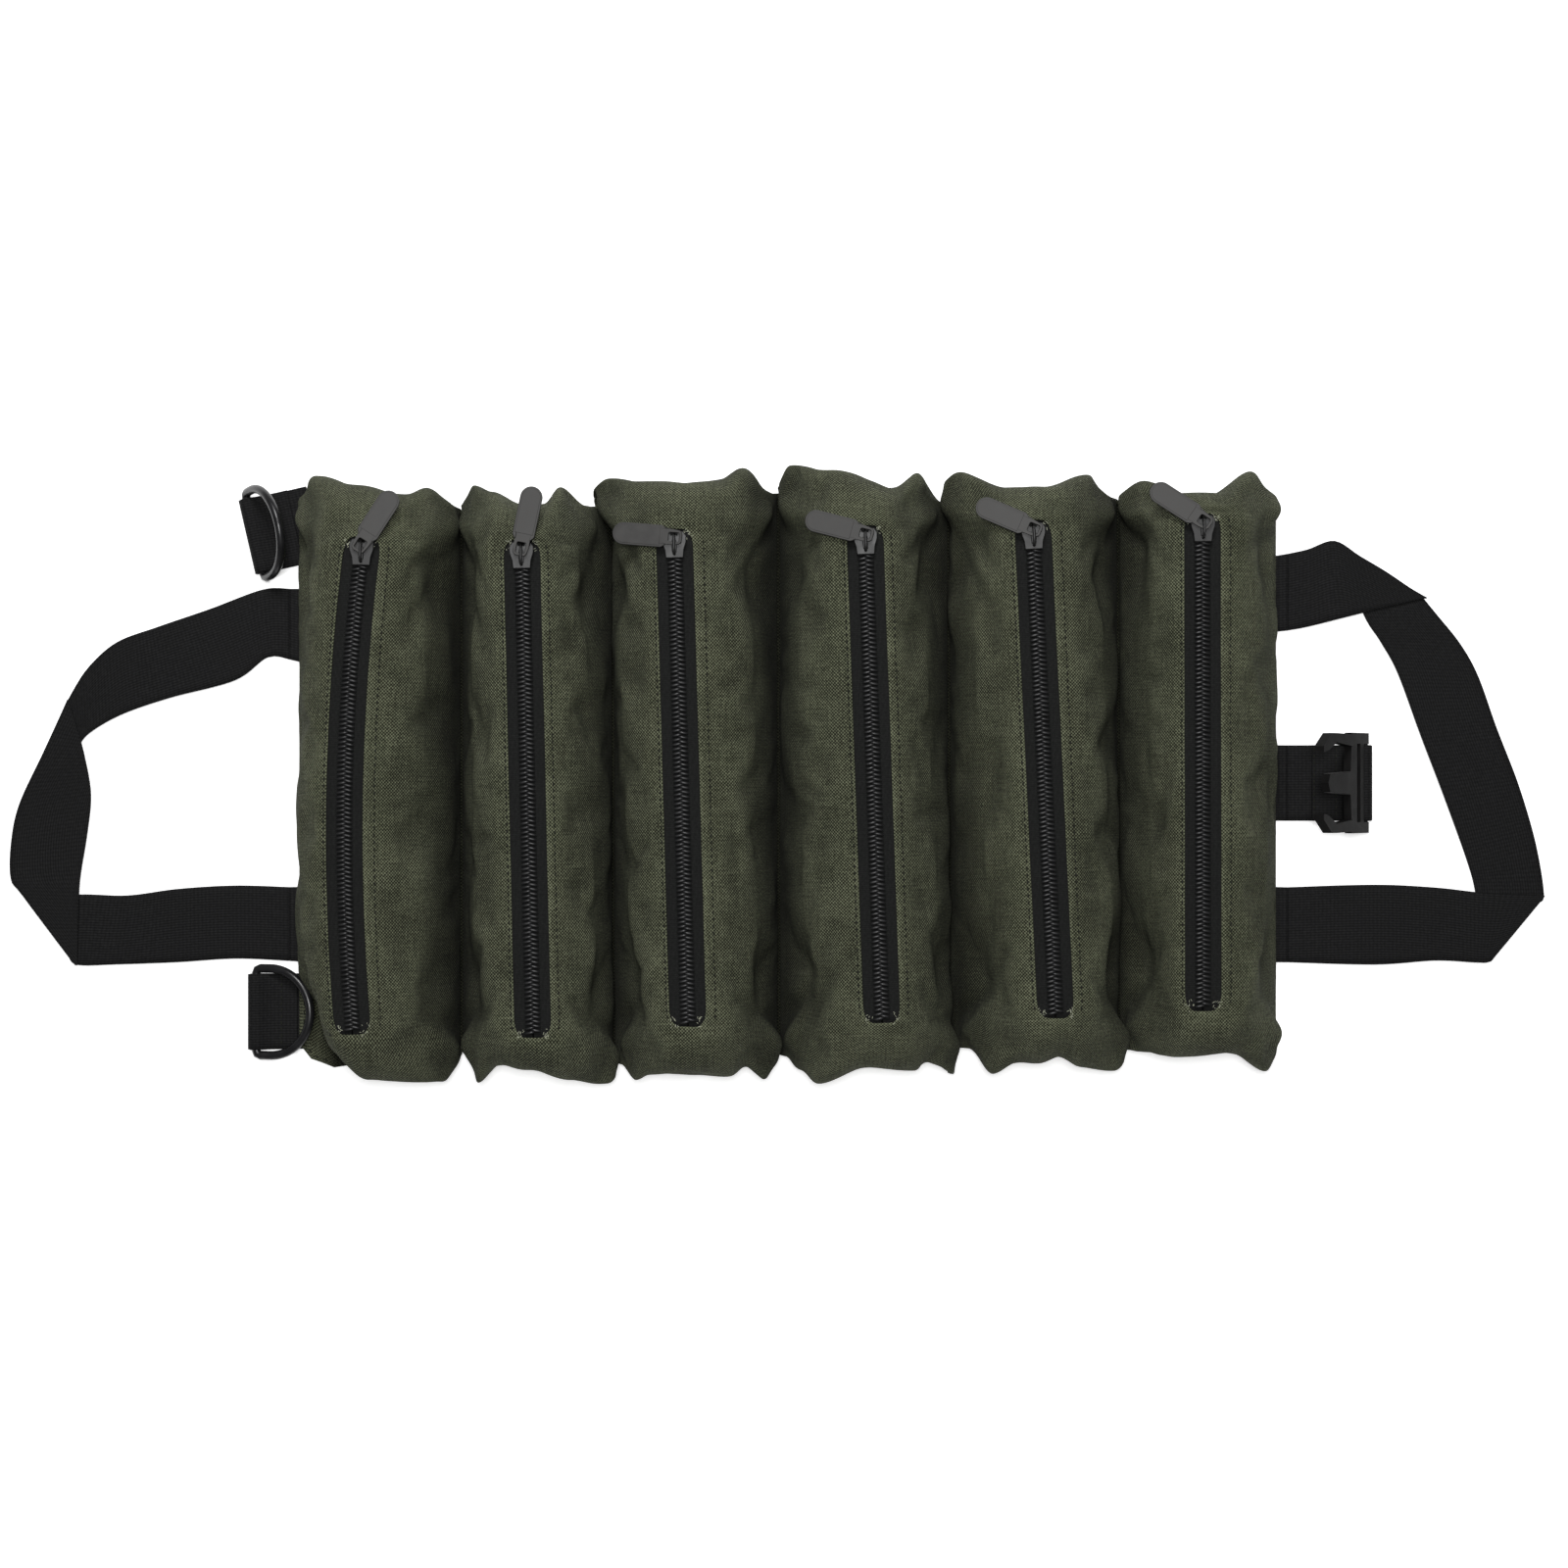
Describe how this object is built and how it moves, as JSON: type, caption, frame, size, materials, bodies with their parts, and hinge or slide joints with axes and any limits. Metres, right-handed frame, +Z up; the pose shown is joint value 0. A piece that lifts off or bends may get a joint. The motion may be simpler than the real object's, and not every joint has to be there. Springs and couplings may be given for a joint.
{
  "type": "roll-up tool bag",
  "caption": "Roll-up canvas tool bag with a row of zipped pouches on a folding back panel, webbing end handles, D-rings and a side-release buckle.",
  "frame": {"origin": "on the ground under the middle of the bag's bounding box, the bag lying on its back panel", "axes": "+X along the row of pouches towards the buckle strap, +Y along each pouch towards its closed slider, +Z up through the pouches"},
  "size_m": [0.772, 0.299, 0.0605],
  "materials": {
    "canvas": "dark olive green heavy cotton canvas, plain weave",
    "webbing": "black ribbed polypropylene webbing",
    "zipper_tape": "black woven zipper tape",
    "zipper_coil": "black moulded zipper teeth, slightly shiny",
    "black_metal": "black enamelled metal, semi-gloss",
    "buckle_plastic": "black moulded acetal, satin"
  },
  "bodies": {
    "panel_1": {"back_panel_1": "canvas", "upper_back_strap_1": "webbing", "lower_back_strap_1": "webbing", "pouch_1": "canvas", "zipper_tape_1": "zipper_tape", "zipper_chain_1": "zipper_coil", "d_ring_tab_lower": "webbing", "d_ring_tab_upper": "webbing"},
    "panel_2": {"back_panel_2": "canvas", "upper_back_strap_2": "webbing", "lower_back_strap_2": "webbing", "pouch_2": "canvas", "zipper_tape_2": "zipper_tape", "zipper_chain_2": "zipper_coil"},
    "panel_3": {"back_panel_3": "canvas", "upper_back_strap_3": "webbing", "lower_back_strap_3": "webbing", "pouch_3": "canvas", "zipper_tape_3": "zipper_tape", "zipper_chain_3": "zipper_coil"},
    "panel_4": {"back_panel_4": "canvas", "upper_back_strap_4": "webbing", "lower_back_strap_4": "webbing", "pouch_4": "canvas", "zipper_tape_4": "zipper_tape", "zipper_chain_4": "zipper_coil", "buckle_female": "buckle_plastic", "buckle_female_tab": "webbing"},
    "panel_5": {"back_panel_5": "canvas", "upper_back_strap_5": "webbing", "lower_back_strap_5": "webbing", "pouch_5": "canvas", "zipper_tape_5": "zipper_tape", "zipper_chain_5": "zipper_coil"},
    "panel_6": {"back_panel_6": "canvas", "upper_back_strap_6": "webbing", "lower_back_strap_6": "webbing", "pouch_6": "canvas", "zipper_tape_6": "zipper_tape", "zipper_chain_6": "zipper_coil", "buckle_strap_anchor": "webbing"},
    "slider_1": {"slider_1": "black_metal"},
    "pull_1": {"pull_1": "black_metal"},
    "slider_2": {"slider_2": "black_metal"},
    "pull_2": {"pull_2": "black_metal"},
    "slider_3": {"slider_3": "black_metal"},
    "pull_3": {"pull_3": "black_metal"},
    "slider_4": {"slider_4": "black_metal"},
    "pull_4": {"pull_4": "black_metal"},
    "slider_5": {"slider_5": "black_metal"},
    "pull_5": {"pull_5": "black_metal"},
    "slider_6": {"slider_6": "black_metal"},
    "pull_6": {"pull_6": "black_metal"},
    "d_ring_lower": {"d_ring_lower": "black_metal"},
    "d_ring_upper": {"d_ring_upper": "black_metal"},
    "handle_left": {"handle_left": "webbing"},
    "handle_right": {"handle_right": "webbing"},
    "buckle_strap": {"buckle_strap": "webbing"},
    "buckle_male": {"buckle_male": "buckle_plastic"}
  },
  "joints": [
    {"name": "fold_1", "type": "hinge", "parent": "panel_2", "child": "panel_1", "pos_m": [-0.159, 0, 0.00325], "axis": [0, 1, 0], "range_deg": [0, 28]},
    {"name": "fold_2", "type": "hinge", "parent": "panel_3", "child": "panel_2", "pos_m": [-0.083, 0, 0.00325], "axis": [0, 1, 0], "range_deg": [0, 22]},
    {"name": "fold_3", "type": "hinge", "parent": "panel_3", "child": "panel_4", "pos_m": [0, 0, 0.00325], "axis": [0, -1, 0], "range_deg": [0, 25]},
    {"name": "fold_4", "type": "hinge", "parent": "panel_4", "child": "panel_5", "pos_m": [0.0855, 0, 0.00325], "axis": [0, -1, 0], "range_deg": [0, 25]},
    {"name": "fold_5", "type": "hinge", "parent": "panel_5", "child": "panel_6", "pos_m": [0.1705, 0, 0.00325], "axis": [0, -1, 0], "range_deg": [0, 28]},
    {"name": "handle_left_swing", "type": "hinge", "parent": "panel_1", "child": "handle_left", "pos_m": [-0.242, 0, 0.00175], "axis": [0, -1, 0], "range_deg": [-95, 0]},
    {"name": "handle_right_swing", "type": "hinge", "parent": "panel_6", "child": "handle_right", "pos_m": [0.252, 0, 0.00175], "axis": [0, 1, 0], "range_deg": [-95, 0]},
    {"name": "slider_1_slide", "type": "slide", "parent": "panel_1", "child": "slider_1", "axis": [-0.0209, -0.9998, 0], "range_m": [0, 0.224]},
    {"name": "pull_1_swivel", "type": "hinge", "parent": "slider_1", "child": "pull_1", "pos_m": [-0.20097, 0.11027, 0.058], "axis": [-0.0462, -0.0739, -0.9962], "range_deg": [-80, 40]},
    {"name": "slider_2_slide", "type": "slide", "parent": "panel_2", "child": "slider_2", "axis": [0.0227, -0.9997, 0], "range_m": [0, 0.224]},
    {"name": "pull_2_flip", "type": "hinge", "parent": "slider_2", "child": "pull_2", "pos_m": [-0.12452, 0.10544, 0.058], "axis": [0.9781, -0.2079, 0], "range_deg": [0, 122]},
    {"name": "slider_3_slide", "type": "slide", "parent": "panel_3", "child": "slider_3", "axis": [0.0279, -0.9996, 0], "range_m": [0, 0.224]},
    {"name": "pull_3_swivel", "type": "hinge", "parent": "slider_3", "child": "pull_3", "pos_m": [-0.05024, 0.11375, 0.058], "axis": [0.1214, -0.0106, -0.9925], "range_deg": [-26, 80]},
    {"name": "slider_4_slide", "type": "slide", "parent": "panel_4", "child": "slider_4", "axis": [0.0349, -0.9994, 0], "range_m": [0, 0.224]},
    {"name": "pull_4_swivel", "type": "hinge", "parent": "slider_4", "child": "pull_4", "pos_m": [0.04185, 0.11543, 0.058], "axis": [0.1177, -0.0315, -0.9925], "range_deg": [-35, 70]},
    {"name": "slider_5_slide", "type": "slide", "parent": "panel_5", "child": "slider_5", "axis": [0.0471, -0.9989, 0], "range_m": [0, 0.224]},
    {"name": "pull_5_swivel", "type": "hinge", "parent": "slider_5", "child": "pull_5", "pos_m": [0.12284, 0.11797, 0.058], "axis": [0.1113, -0.0496, -0.9925], "range_deg": [-44, 61]},
    {"name": "slider_6_slide", "type": "slide", "parent": "panel_6", "child": "slider_6", "axis": [0.0017, -1, 0], "range_m": [0, 0.224]},
    {"name": "pull_6_swivel", "type": "hinge", "parent": "slider_6", "child": "pull_6", "pos_m": [0.2046, 0.1216, 0.058], "axis": [0.101, -0.0681, -0.9925], "range_deg": [-54, 50]},
    {"name": "d_ring_lower_swing", "type": "hinge", "parent": "panel_1", "child": "d_ring_lower", "pos_m": [-0.2621, -0.1192, 0.0041], "axis": [0, 1, 0], "range_deg": [-160, 0]},
    {"name": "d_ring_upper_swing", "type": "hinge", "parent": "panel_1", "child": "d_ring_upper", "pos_m": [-0.2627, 0.1195, 0.0041], "axis": [-0.225, 0.9744, 0], "range_deg": [-120, 0]},
    {"name": "buckle_strap_swing", "type": "hinge", "parent": "panel_6", "child": "buckle_strap", "pos_m": [0.2515, -0.0045, 0.00175], "axis": [0, 1, 0], "range_deg": [-24, 0]},
    {"name": "buckle_male_swing", "type": "hinge", "parent": "buckle_strap", "child": "buckle_male", "pos_m": [0.2939, -0.0045, 0.0039], "axis": [0, -1, 0], "range_deg": [-120, 25], "stiffness_Nm_per_rad": 0.05}
  ]
}
